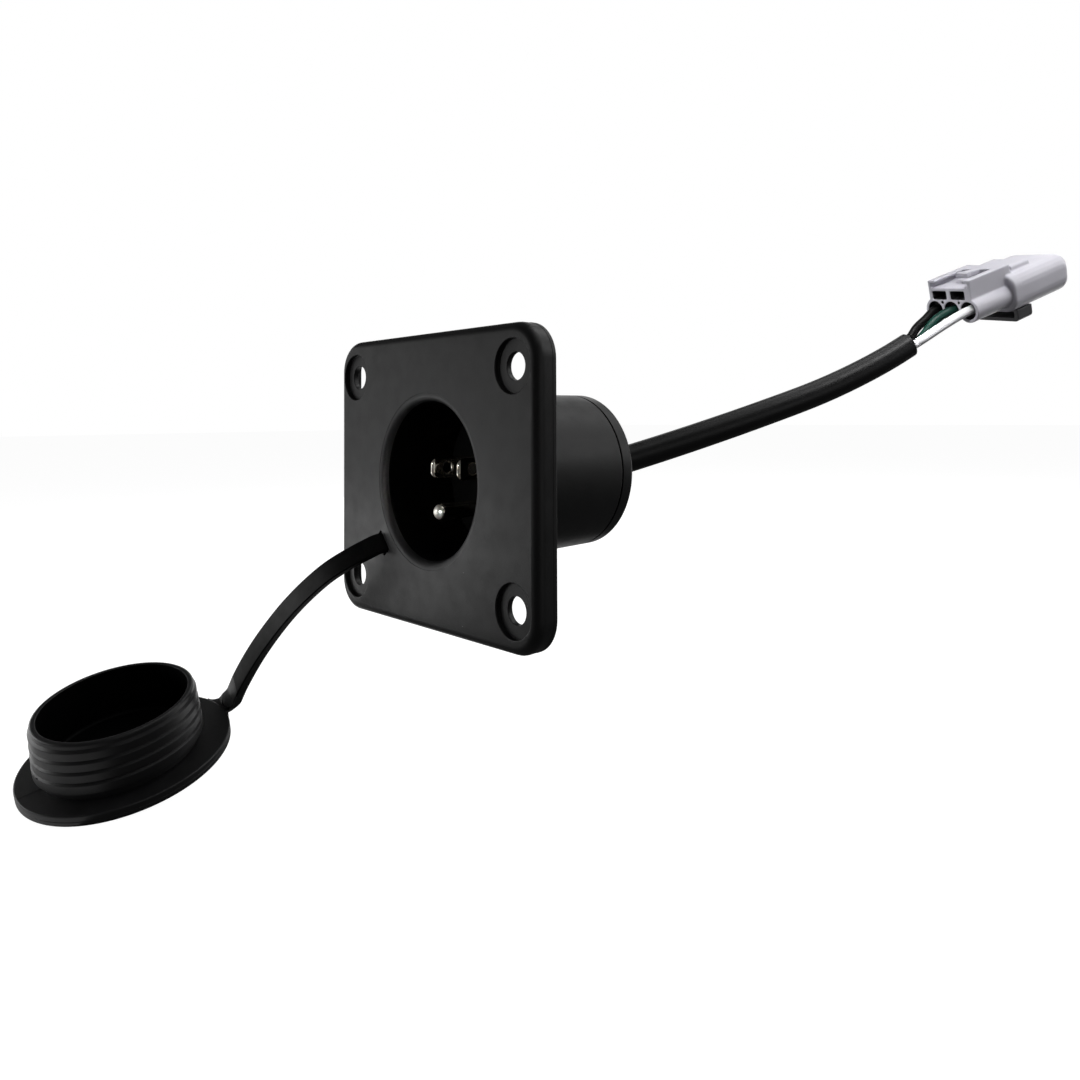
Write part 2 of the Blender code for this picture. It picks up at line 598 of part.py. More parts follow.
# Wires from the jacket's end into the connector's bores
into = connector.matrix_world
for (name, way), x in zip(WIRE_WAYS.items(), wire_x):
    ends = [into @ (Vector((x, y, 0)) * MM) / MM for y in (-1.0, 4.0, CONTACT_FROM - FIT)]
    start = [behind + Vector(p) for p in way]
    cord(name, smooth_curve(start + ends, 2.6), WIRE_R, wire_looks[name.split("_")[1]])

# Sealing cap and strap, one rubber moulding. The plug is turned, the strap is swept and the two are joined.
pivot = slot_mid + Vector((0, front + FACE_T / 2, 0))
lid_frame = (Matrix.Translation(Vector(LID_AT)) @
             Matrix.Rotation(math.radians(LID_TILT_X), 4, "X") @
             Matrix.Rotation(math.radians(LID_TILT_Y), 4, "Y") @
             Matrix.Rotation(math.radians(LID_TURN), 4, "Z"))
plug_r = PORT_R - PLUG_GAP
root_r = plug_r - RIB_DEPTH
cup_r = root_r - PLUG_WALL
plug = [(0, -LID_T / 2), (NECK_R, -LID_T / 2), (NECK_R, NECK_L)]
rib_foot = NECK_L
for k in range(RIB_COUNT):
    top = PLUG_L - 1.7 - RIB_PITCH * (RIB_COUNT - 1 - k)
    less = PLUG_TAPER * k / (RIB_COUNT - 1)
    plug += [(plug_r - less, rib_foot), (plug_r - less, top - RIB_BEVEL), (root_r - less / 2, top)]
    rib_foot = top + 0.15
plug += [(root_r, PLUG_L - 0.7), (root_r - 0.7, PLUG_L), (cup_r, PLUG_L), (cup_r, CUP_FLOOR + 1.2),
         (cup_r - 1.2, CUP_FLOOR), (0, CUP_FLOOR)]
disc = [(0, -LID_T), (LID_R - 0.5, -LID_T), (LID_R, -LID_T + 0.5), (LID_R, -0.5), (LID_R - 0.5, 0), (0, 0)]


def lid_solid(name, profile, shift, look=None):
    rings = [ring(radius, along, 64 if radius else 1, "Z", (0, shift)) for radius, along in profile]
    return skin(name, turned(lid_frame, rings), look, origin=pivot)


sealing_cap = lid_solid("sealing_cap", disc, LID_SHIFT, rubber)
boolean(sealing_cap, lid_solid("add_plug", plug, 0), "UNION")

edge = LID_R + LID_SHIFT
tab = [lid_frame @ Vector((0, edge + y, -LID_T / 2)) for y in (1.2, -1.5, -STRAP_IN_L)]
lie = tab[0] - slot_mid
lie = Vector((lie.x, 0, lie.z)).normalized()
route = [slot_mid + Vector((0, y, 0)) for y in (face_back + TEE_GAP, front)]
route += [slot_mid + lie * s + Vector((0, y, 0)) for s, y in STRAP_WAY] + tab
spine = smooth_curve(route, 2.2)
tab_across = (lid_frame.to_3x3() @ Vector((1, 0, 0))).normalized()
strap_loops = []


def strap_section(point, along, side, width, thick):
    """Cross-section of the strap: a flat rectangle with its corners taken off."""
    side = (side - along * side.dot(along)).normalized()
    up = along.cross(side)
    w, t, c = width / 2, thick / 2, 0.35
    corners = ((w, t - c), (w - c, t), (c - w, t), (-w, t - c), (-w, c - t), (c - w, -t), (w - c, -t),
               (w, c - t))
    return [point + side * a + up * b for a, b in corners]


def ease(value):
    value = min(max(value, 0.0), 1.0)
    return value * value * (3 - 2 * value)


tee_back = slot_mid + Vector((0, face_back + TEE_GAP + TEE_T, 0))
outwards = Vector((0, -1, 0))
for point in (tee_back, spine[0]):
    strap_loops.append(strap_section(point, outwards, across, TEE_W, TEE_H))
spine_l = [0.0]
for a, b in zip(spine, spine[1:]):
    spine_l.append(spine_l[-1] + (b - a).length)
for i, point in enumerate(spine):
    before, after = spine[max(i - 1, 0)], spine[min(i + 1, len(spine) - 1)]
    along = (after - before).normalized() if i else outwards
    to_rim = spine_l[-1] - STRAP_IN_L - spine_l[i]
    twist = ease(1 - to_rim / TWIST_L)
    grow = ease((spine_l[i] - STRAP_GROW) / (spine_l[-1] - TWIST_L - STRAP_GROW))
    wide = STRAP_W + (STRAP_END_W - STRAP_W) * grow
    thick = STRAP_T + (STRAP_END_T - STRAP_T) * grow - (STRAP_END_T - STRAP_IN_T) * twist
    strap_loops.append(strap_section(point, along, across.lerp(tab_across, twist), wide, thick))
lug_half = STRAP_END_W / 2 + LUG_FILLET
lug_side = [(lug_half, edge - LUG_IN)] + arc((lug_half, edge + LUG_OUT), LUG_FILLET, 270, 180, 4)
lug_outline = lug_side + [(-x, y) for x, y in reversed(lug_side)]
lug = turned(lid_frame, [[(x, y, -LID_T / 2 + s * LUG_T / 2) for x, y in lug_outline] for s in (-1, 1)])
boolean(sealing_cap, skin("add_lug", lug, origin=pivot), "UNION")
boolean(sealing_cap, skin("add_strap", strap_loops, origin=pivot), "UNION")
smooth(sealing_cap)
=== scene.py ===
"""Looks of the charger port plate: finishes, fine forms, cords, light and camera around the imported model."""
import math

import bmesh
import bpy
from mathutils import Matrix, Vector


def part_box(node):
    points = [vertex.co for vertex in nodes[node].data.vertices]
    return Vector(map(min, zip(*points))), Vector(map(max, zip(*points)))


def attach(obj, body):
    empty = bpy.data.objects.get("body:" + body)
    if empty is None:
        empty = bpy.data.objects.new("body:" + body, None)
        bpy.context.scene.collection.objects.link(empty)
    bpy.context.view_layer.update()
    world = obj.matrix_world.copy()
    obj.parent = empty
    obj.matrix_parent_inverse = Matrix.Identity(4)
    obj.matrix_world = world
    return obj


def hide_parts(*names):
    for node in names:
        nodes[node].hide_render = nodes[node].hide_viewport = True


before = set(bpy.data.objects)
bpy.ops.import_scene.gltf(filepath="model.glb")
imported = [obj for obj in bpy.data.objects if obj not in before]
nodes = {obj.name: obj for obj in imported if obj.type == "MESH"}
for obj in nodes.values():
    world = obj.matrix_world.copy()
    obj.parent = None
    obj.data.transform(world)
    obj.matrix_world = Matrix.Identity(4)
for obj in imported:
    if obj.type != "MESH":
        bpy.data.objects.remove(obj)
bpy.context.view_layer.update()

MM = 0.001


# Camera: the photograph's own viewpoint, worked out from the plate and the port
camera_data = bpy.data.cameras.new("camera")
camera_data.sensor_width = 36.0
camera_data.lens = 25.361
camera_data.shift_x = -0.14815
camera_data.shift_y = -0.12770
camera_data.clip_start = 0.001
camera = bpy.data.objects.new("camera", camera_data)
bpy.context.collection.objects.link(camera)
right, up, back = (0.7838, 0.6209, -0.0085), (0.0182, -0.0093, 0.9998), (0.6207, -0.7838, -0.0186)
turn = Matrix((right, up, back)).transposed().to_4x4()
camera.matrix_world = Matrix.Translation((0.1903938, -0.1239245, 0.0173206)) @ turn
bpy.context.scene.camera = camera


# Finishes
def shader_of(name, colour, roughness, metallic=0.0, specular=0.5):
    """A plain material, which paint and bump then work on."""
    made = bpy.data.materials.new(name)
    made.use_nodes = True
    shader = made.node_tree.nodes["Principled BSDF"]
    shader.inputs["Base Color"].default_value = (*colour, 1.0)
    shader.inputs["Roughness"].default_value = roughness
    shader.inputs["Metallic"].default_value = metallic
    shader.inputs["Specular IOR Level"].default_value = specular
    made.diffuse_color = (*colour, 1.0)
    return made


def placed(made, scale, stretch=(1, 1, 1)):
    """The piece's own coordinates; scale is in waves per millimetre."""
    tree = made.node_tree
    place = tree.nodes.new("ShaderNodeTexCoord")
    size = tree.nodes.new("ShaderNodeMapping")
    size.inputs["Scale"].default_value = [s * scale / MM for s in stretch]
    tree.links.new(place.outputs["Object"], size.inputs["Vector"])
    return size.outputs["Vector"]


def noise(made, scale, detail, roughness=0.55, stretch=(1, 1, 1)):
    """Soft random patches, scale to the millimetre."""
    tree = made.node_tree
    pattern = tree.nodes.new("ShaderNodeTexNoise")
    pattern.inputs["Scale"].default_value = 1.0
    pattern.inputs["Detail"].default_value = detail
    pattern.inputs["Roughness"].default_value = roughness
    tree.links.new(placed(made, scale, stretch), pattern.inputs["Vector"])
    return pattern.outputs["Fac"]


def specks(made, scale, size):
    """One where a small grain of dust lies, zero elsewhere."""
    tree = made.node_tree
    cells = tree.nodes.new("ShaderNodeTexVoronoi")
    cells.inputs["Scale"].default_value = 1.0
    tree.links.new(placed(made, scale), cells.inputs["Vector"])
    grain = spread(made, cells.outputs["Distance"], size, size * 0.6, 0, 1)
    pick = tree.nodes.new("ShaderNodeSeparateColor")
    tree.links.new(cells.outputs["Color"], pick.inputs["Color"])
    few = spread(made, pick.outputs["Red"], 0.55, 0.6, 0, 1)
    both = tree.nodes.new("ShaderNodeMath")
    both.operation = "MULTIPLY"
    tree.links.new(grain, both.inputs[0])
    tree.links.new(few, both.inputs[1])
    return both.outputs["Value"]


def streaks(made, along, around):
    """Noise drawn out along a cord: waves in its length and in its girth."""
    tree = made.node_tree
    where = tree.nodes.new("ShaderNodeTexCoord")
    scale = tree.nodes.new("ShaderNodeMapping")
    scale.inputs["Scale"].default_value = (along, around, 1)
    pattern = tree.nodes.new("ShaderNodeTexNoise")
    pattern.inputs["Scale"].default_value = 1.0
    pattern.inputs["Detail"].default_value = 0.0
    tree.links.new(where.outputs["UV"], scale.inputs["Vector"])
    tree.links.new(scale.outputs["Vector"], pattern.inputs["Vector"])
    return pattern.outputs["Fac"]


def spread(made, value, low, high, out_low, out_high):
    """A value taken from one range into another."""
    tree = made.node_tree
    change = tree.nodes.new("ShaderNodeMapRange")
    for name, number in (("From Min", low), ("From Max", high), ("To Min", out_low), ("To Max", out_high)):
        change.inputs[name].default_value = number
    tree.links.new(value, change.inputs["Value"])
    return change.outputs["Result"]


def mixed(made, share, first, second):
    """Two colours, or an earlier colour and one more, mixed by a share."""
    tree = made.node_tree
    mix = tree.nodes.new("ShaderNodeMix")
    mix.data_type = "RGBA"
    tree.links.new(share, mix.inputs["Factor"])
    for socket, colour in ((mix.inputs["A"], first), (mix.inputs["B"], second)):
        if isinstance(colour, bpy.types.NodeSocket):
            tree.links.new(colour, socket)
        else:
            socket.default_value = (*colour, 1.0)
    return mix.outputs["Result"]


def paint(made, colour, roughness):
    """Lets two patterns drive the colour and the roughness."""
    tree = made.node_tree
    shader = tree.nodes["Principled BSDF"]
    tree.links.new(colour, shader.inputs["Base Color"])
    tree.links.new(roughness, shader.inputs["Roughness"])


def bump(made, *layers):
    """Relief in layers of (height, depth in millimetres)."""
    tree = made.node_tree
    normal = None
    for height, depth in layers:
        relief = tree.nodes.new("ShaderNodeBump")
        relief.inputs["Distance"].default_value = depth * MM
        tree.links.new(height, relief.inputs["Height"])
        if normal:
            tree.links.new(normal, relief.inputs["Normal"])
        normal = relief.outputs["Normal"]
    tree.links.new(normal, tree.nodes["Principled BSDF"].inputs["Normal"])


def moulded(name, colour, roughness, grain=2.5, depth=0.02, specular=0.5, uneven=0.12, dust=0.0, scuffs=0.0,
            drawn=0.0):
    """Moulded plastic or rubber: cloudy colour, fine grain, uneven gloss, and if asked dust and scuffs.

    Where drawn is a depth in millimetres, the relief is that of a jacket drawn over its cores.
    """
    made = shader_of(name, colour, roughness, specular=specular)
    cloud = spread(made, noise(made, 0.06, 4.0), 0.3, 0.7, 0, 1)
    tone = mixed(made, cloud, [c * (1 - uneven) for c in colour], [c * (1 + uneven) for c in colour])
    gloss = spread(made, noise(made, 0.2, 4.0), 0.3, 0.7, roughness - 0.04, roughness + 0.05)
    if dust:
        tone = mixed(made, specks(made, 0.16, 0.022), tone, [dust] * 3)
    if scuffs:
        rubbed = spread(made, noise(made, 0.5, 6.0, 0.7, stretch=(0.15, 1, 1)), 0.62, 0.8, 0, scuffs)
        tone = mixed(made, rubbed, tone, [c + 0.06 for c in colour])
    paint(made, tone, gloss)
    fine = (noise(made, grain, 2.0), depth)
    if drawn:
        bump(made, (streaks(made, 1.6, 4.5), drawn), fine)
    else:
        bump(made, fine, (noise(made, 0.05, 2.0), depth * 2))
    return made


SHEEN = 0.27             # specular level of the black pieces
plate_black = moulded("satin_black_plastic", (0.0075, 0.0075, 0.0078), 0.42, 3.2, 0.02, SHEEN, dust=0.3)
barrel_black = moulded("barrel_plastic", (0.0075, 0.0075, 0.008), 0.38, 2.5, 0.01, SHEEN, dust=0.25)
# Painted shade: the carrier deep in the port is near black with almost no sheen
carrier_shade_black = moulded("carrier_plastic", (0.001, 0.001, 0.001), 0.5, specular=0.05)
# Painted shade for the connector's bores, windows and small holes
painted_shade_grey = moulded("connector_painted_shade", (0.035, 0.035, 0.038), 0.5, 1.8, 0.01, 0.3)
# Painted shade: near black with almost no sheen, for the port's depths, the barrel seam and the cap's cup
painted_shade_black = moulded("painted_shade_plastic", (0.001, 0.001, 0.001), 0.5, 2.5, 0.01, 0.05)
cap_black = moulded("cap_rubber", (0.007, 0.007, 0.0075), 0.44, 2.2, 0.015, 0.32, dust=0.2, scuffs=0.1)
# Painted shade: the strap is the cap's rubber made darker, and with less sheen
strap_shaded_black = moulded("strap_painted_shade_rubber", (0.003, 0.003, 0.0032), 0.5, 2.2, 0.015, 0.06, dust=0.15, scuffs=0.04)
grommet_black = moulded("grommet_rubber", (0.006, 0.006, 0.006), 0.6, specular=SHEEN)
jacket_black = moulded("jacket_rubber", (0.005, 0.005, 0.0055), 0.38, 1.6, 0.005, 0.3, drawn=0.6)


def worn(made, patches, bright, dull):
    """The colour of plating that is bright in some patches and dull in others."""
    return mixed(made, spread(made, noise(made, patches, 4.0), 0.35, 0.7, 0, 1), bright, dull)


nickel = shader_of("nickel", (0.86, 0.84, 0.78), 0.12, 1.0)
paint(nickel, worn(nickel, 0.5, (0.88, 0.86, 0.82), (0.7, 0.62, 0.48)),
      spread(nickel, noise(nickel, 0.9, 5.0, stretch=(1, 0.12, 1)), 0.3, 0.7, 0.08, 0.16))
bump(nickel, (noise(nickel, 2.0, 3.0, stretch=(1, 0.08, 1)), 0.0015))
# The pin is matt at its tip, before y = -2.4 mm, and polished behind it
pin_nickel = shader_of("pin_nickel", (0.9, 0.89, 0.85), 0.4, 1.0)
along_pin = pin_nickel.node_tree.nodes.new("ShaderNodeSeparateXYZ")
pin_nickel.node_tree.links.new(placed(pin_nickel, 1.0), along_pin.inputs["Vector"])
paint(pin_nickel, worn(pin_nickel, 0.6, (0.92, 0.91, 0.88), (0.75, 0.68, 0.55)),
      spread(pin_nickel, along_pin.outputs["Y"], -2.4, -1.4, 0.42, 0.1))
bump(pin_nickel, (noise(pin_nickel, 0.8, 2.0), 0.008))
tin = shader_of("tin", (0.62, 0.6, 0.56), 0.35, 1.0)
paint(tin, worn(tin, 0.7, (0.66, 0.64, 0.6), (0.5, 0.47, 0.42)),
      spread(tin, noise(tin, 1.2, 4.0), 0.3, 0.7, 0.28, 0.46))
bump(tin, (noise(tin, 3.0, 3.0), 0.01))
insulation = {
    "black": moulded("insulation_black", (0.003, 0.003, 0.003), 0.42, depth=0.01, specular=0.12),
    "green": moulded("insulation_green", (0.007, 0.042, 0.031), 0.42, depth=0.01, specular=0.3),
    "white": moulded("insulation_white", (0.93, 0.93, 0.96), 0.36, depth=0.006, uneven=0.03),
}
connector_grey = moulded("connector_grey", (0.53, 0.52, 0.575), 0.42, grain=1.8, depth=0.01, uneven=0.03)
retainer_grey = moulded("retainer_grey", (0.085, 0.085, 0.09), 0.4, grain=1.8, depth=0.015)
seal_black = moulded("seal_rubber", (0.01, 0.01, 0.01), 0.5, specular=SHEEN)


# Shapes
class Form:
    """A mesh made from loops of points, in millimetres."""

    def __init__(self):
        self.mesh = bmesh.new()

    def loop(self, points):
        return [self.mesh.verts.new(Vector(p) * MM) for p in points]

    def loft(self, loops, wrap=False):
        """Faces from each loop to the next; a loop may be one point."""
        for low, high in zip(loops, loops[1:] + (loops[:1] if wrap else [])):
            count = max(len(low), len(high))
            for i in range(count if count > 1 else 0):
                j = (i + 1) % count
                ring = [low[0]] if len(low) == 1 else [low[i], low[j]]
                ring += [high[0]] if len(high) == 1 else [high[j], high[i]]
                self.mesh.faces.new(ring)
        return loops

    def fill(self, *loops):
        """A flat face with holes."""
        edges = []
        for loop in loops:
            for a, b in zip(loop, loop[1:] + loop[:1]):
                edges.append(self.mesh.edges.get((a, b)) or self.mesh.edges.new((a, b)))
        bmesh.ops.triangle_fill(self.mesh, edges=edges, use_beauty=True)

    def lathe(self, profile, count=128, centre=(0, 0), wrap=False, turned=None):
        """Turns a profile of (radius, y) about an axis along Y, or along Z in the frame given by turned."""
        loops = []
        for radius, along in profile:
            points = []
            for i in range(count if radius > 0 else 1):
                turn = 2 * math.pi * i / count
                a, b = centre[0] + radius * math.cos(turn), centre[1] + radius * math.sin(turn)
                points.append(turned @ Vector((a, b, along)) if turned else (a, along, b))
            loops.append(self.loop(points))
        return self.loft(loops, wrap)

    def made(self, name, look, angle=40, weighted=True):
        """Ends the form as an object."""
        bmesh.ops.recalc_face_normals(self.mesh, faces=self.mesh.faces)
        data = bpy.data.meshes.new(name)
        self.mesh.to_mesh(data)
        self.mesh.free()
        return piece_of(name, data, look, angle, weighted)


def piece_of(name, data, look, angle=40, weighted=True):
    """An object with one look, smooth but for edges sharper than the angle in degrees (0 for none)."""
    data.materials.append(look)
    data.shade_smooth()
    if angle:
        data.set_sharp_from_angle(angle=math.radians(angle))
    made = bpy.data.objects.new(name, data)
    bpy.context.collection.objects.link(made)
    if weighted:
        change = made.modifiers.new("weighted_normals", "WEIGHTED_NORMAL")
        change.keep_sharp = True
    return made


def stands_for(piece, body, slot, *names):
    """The piece rides on a body in the place of CAD nodes; the material slot it is given is not used."""
    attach(piece, body)
    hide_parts(*names)


def paint_shade_within(piece, look, within):
    """Gives the faces whose centre (in millimetres) lies within a region a second look; here it paints shade on them.
    """
    piece.data.materials.append(look)
    for face in piece.data.polygons:
        if within(face.center / MM):
            face.material_index = len(piece.data.materials) - 1


def arc(centre, radius, start, stop, steps):
    """Points on an arc, from one angle in degrees to another."""
    turns = [math.radians(start + (stop - start) * i / steps) for i in range(steps + 1)]
    return [(centre[0] + radius * math.cos(t), centre[1] + radius * math.sin(t)) for t in turns]


def rounded_box(half_x, half_z, radius, steps=10, centre=(0, 0)):
    """The outline of a rectangle with rounded corners."""
    points = []
    for x, z, turn in ((1, 1, 0), (-1, 1, 90), (-1, -1, 180), (1, -1, 270)):
        points += arc((centre[0] + x * (half_x - radius), centre[1] + z * (half_z - radius)), radius,
                      turn, turn + 90, steps)
    return points


def softened(corners, closed=False, steps=4):
    """A profile of (a, b, radius of the corner there) with its corners rounded."""
    points = []
    for i, (a, b, radius) in enumerate(corners):
        at = Vector((a, b))
        if not radius or (not closed and i in (0, len(corners) - 1)):
            points.append((a, b))
            continue
        last = Vector(corners[i - 1][:2]) - at
        following = Vector(corners[(i + 1) % len(corners)][:2]) - at
        half = last.angle(following) / 2
        start = at + last.normalized() * radius / math.tan(half)
        stop = at + following.normalized() * radius / math.tan(half)
        middle = at + (last.normalized() + following.normalized()).normalized() * radius / math.sin(half)
        a0, a1 = (math.atan2(p.y - middle.y, p.x - middle.x) for p in (start, stop))
        sweep = (a1 - a0 + math.pi) % (2 * math.pi) - math.pi
        for k in range(steps + 1):
            points.append((middle.x + radius * math.cos(a0 + sweep * k / steps),
                           middle.y + radius * math.sin(a0 + sweep * k / steps)))
    return points


def smooth_curve(route, spacing):
    """Evenly spaced points on a smooth curve through the route's points (centripetal Catmull-Rom)."""
    way = [Vector(p) for p in route]
    way = [2 * way[0] - way[1]] + way + [2 * way[-1] - way[-2]]
    fine = []
    for a, b, c, d in zip(way, way[1:], way[2:], way[3:]):
        t1 = (b - a).length ** 0.5
        t2 = t1 + (c - b).length ** 0.5
        t3 = t2 + (d - c).length ** 0.5
        for i in range(24):
            t = t1 + (t2 - t1) * i / 24
            ab, bc, cd = a.lerp(b, t / t1), b.lerp(c, (t - t1) / (t2 - t1)), c.lerp(d, (t - t2) / (t3 - t2))
            fine.append(ab.lerp(bc, t / t2).lerp(bc.lerp(cd, (t - t1) / (t3 - t1)), (t - t1) / (t2 - t1)))
    fine.append(way[-2])
    lengths = [0.0]
    for a, b in zip(fine, fine[1:]):
        lengths.append(lengths[-1] + (b - a).length)
    count = max(2, round(lengths[-1] / spacing))
    spaced, k = [], 0
    for i in range(count + 1):
        want = lengths[-1] * i / count
        while k < len(fine) - 2 and lengths[k + 1] < want:
            k += 1
        span = lengths[k + 1] - lengths[k]
        spaced.append(fine[k].lerp(fine[k + 1], (want - lengths[k]) / span if span else 0.0))
    return spaced


def cord_curve(name, points, radius, look):
    """A round cord on a row of points."""
    curve = bpy.data.curves.new(name, "CURVE")
    curve.dimensions = "3D"
    curve.bevel_depth = radius * MM
    curve.bevel_resolution = 8
    curve.use_fill_caps = True
    spline = curve.splines.new("POLY")
    spline.points.add(len(points) - 1)
    for point, place in zip(spline.points, points):
        point.co = (*(Vector(place) * MM), 1.0)
    spline.use_smooth = True
    curve.materials.append(look)
    made = bpy.data.objects.new(name, curve)
    bpy.context.collection.objects.link(made)
    return made


# Flange plate and barrel, in millimetres; the plate faces -Y and its rear rim is at y = 0
PLATE_W, PLATE_H, PLATE_D, PLATE_CORNER, PLATE_EDGE = 95.3, 82.6, 6.0, 9.5, 2.5
FACE_T, RIM_T = 2.2, 1.4
RIM_LIP = 0.08           # the rim's front part stands back by this much from its rear part
HOLES = (PLATE_W / 2 - 9.55, PLATE_H / 2 - 11.15)
HOLE_R, SINK_R, SINK_D = 3.55, 6.9, 1.15
HOLE_COLLAR = 0.4        # height of the collar round each hole at the back
PORT_R, PORT_ROUND, PORT_D, CHAMBER_R = 22.1, 2.2, 22.7, 23.0
PORT_LINE_R = 24.5       # contour line round the port
BARREL_R, BARREL_L = 24.6, 46.5
FRONT = -PLATE_D
FLOOR = FRONT + FACE_T
PORT_LIT = 1.9           # behind this depth the port's inside is painted in shade, near black
SEAM = 0.15              # depth of the seam between barrel and rear cap, on each side, that is painted in shade
SLOT_AT, SLOT_ANGLE = 29.7, math.radians(220.3)
STRAP_W, STRAP_T = 6.0, 2.1

plate = Form()
side = softened([(9, FRONT, 0), (RIM_LIP, FRONT, PLATE_EDGE), (RIM_LIP, -1.15, 0.03), (0, -1.05, 0.05), (0, 0, 0.2),
                 (RIM_T, 0, 0.15), (RIM_T, FLOOR, 0.5), (9, FLOOR, 0)], steps=6)[1:-1]
rims = [plate.loop([(x, y, z) for x, z in
                    rounded_box(PLATE_W / 2 - inset, PLATE_H / 2 - inset, PLATE_CORNER - inset, 14)])
        for inset, y in side]
plate.loft(rims)
port = softened([(27, FRONT, 0), (PORT_LINE_R, FRONT, 0.04), (PORT_LINE_R - 0.08, FRONT + 0.1, 0.04),
                 (PORT_R, FRONT + 0.1, PORT_ROUND), (PORT_R, FRONT + PORT_D, 0.1), (CHAMBER_R, FRONT + PORT_D, 0.1),
                 (CHAMBER_R, BARREL_L, 0.15), (BARREL_R, BARREL_L, 0.35), (BARREL_R, FLOOR, 0.8),
                 (27, FLOOR, 0)], steps=6)[1:-1]
tube = plate.lathe(port, 160)
holes = []
for x, z in ((-1, 1), (1, 1), (1, -1), (-1, -1)):
    profile = softened([(9, FRONT, 0), (SINK_R, FRONT, 0.3), (SINK_R, FRONT + SINK_D, 0.15),
                        (HOLE_R, FRONT + SINK_D, 0.15), (HOLE_R, FLOOR + HOLE_COLLAR, 0.1),
                        (HOLE_R + 1.6, FLOOR + HOLE_COLLAR, 0.2), (HOLE_R + 1.9, FLOOR, 0.1), (7, FLOOR, 0)])[1:-1]
    holes.append(plate.lathe(profile, 64, (x * HOLES[0], z * HOLES[1])))
outward = Vector((math.cos(SLOT_ANGLE), 0, math.sin(SLOT_ANGLE)))
across = Vector((-math.sin(SLOT_ANGLE), 0, math.cos(SLOT_ANGLE)))
slot_mid = outward * SLOT_AT
slot = []
for grow, y in softened([(2, FRONT, 0), (0, FRONT, 0.2), (0, FLOOR, 0.1), (2, FLOOR, 0)])[1:-1]:
    corners = rounded_box(STRAP_W / 2 + 0.4 + grow, STRAP_T / 2 + 0.55 + grow, 0.3 + grow, 4)
    slot.append(plate.loop([slot_mid + across * a + outward * b + Vector((0, y, 0)) for a, b in corners]))
plate.loft(slot)
plate.fill(rims[0], tube[0], slot[0], *[hole[0] for hole in holes])
plate.fill(rims[-1], tube[-1], slot[-1], *[hole[-1] for hole in holes])
plate = plate.made("plate_and_barrel", plate_black, 30)
# Painted shade: the port's inside behind PORT_LIT and the barrel's end in the seam turn near black
paint_shade_within(plate, painted_shade_black, lambda at: at.y > BARREL_L - SEAM or
       at.y > FRONT + PORT_LIT and math.hypot(at.x, at.z) < CHAMBER_R + 0.1)
stands_for(plate, "inlet", "plate_plastic", "flange_plate")

# Rear cap, with a spigot that goes into the barrel
FIT = 0.3                # gap between pieces
SPIGOT_L, SPIGOT_T = 3, 2
CABLE_HOLE_R = 7.2
cap_front, cap_back = BARREL_L + FIT, BARREL_L + 4.8
spigot_r = CHAMBER_R - FIT
rear = Form()
rear.lathe(softened([(CABLE_HOLE_R, cap_front, 0), (spigot_r - SPIGOT_T, cap_front, 0),
                     (spigot_r - SPIGOT_T, cap_front - SPIGOT_L, 0.15), (spigot_r, cap_front - SPIGOT_L, 0.3),
                     (spigot_r, cap_front, 0), (BARREL_R, cap_front, 0.35), (BARREL_R, cap_back, 0.9),
                     (CABLE_HOLE_R, cap_back, 0.2)], closed=True, steps=6), 160, wrap=True)
rear = rear.made("barrel_end", barrel_black, 30)
# Painted shade: the spigot and the front face in the seam turn near black
paint_shade_within(rear, painted_shade_black, lambda at: at.y < cap_front + SEAM)
stands_for(rear, "inlet", "plate_plastic", "rear_cap")


# Contacts: two flat blades and the round ground pin
BLADE_X, BLADE_Z, BLADE_W, BLADE_T, BLADE_CORNER, BLADE_TIP = 6.35, 3.0, 6.35, 1.5, 2.2, -0.2
BLADE_HOLE_AT, BLADE_HOLE_R = 4.9, 1.6
SHOULDER, TAIL = 26.3, 27.9     # the collar behind the carrier
COLLAR, BLADE_TAIL, PIN_TAIL = 1.3, 2.2, 1.3
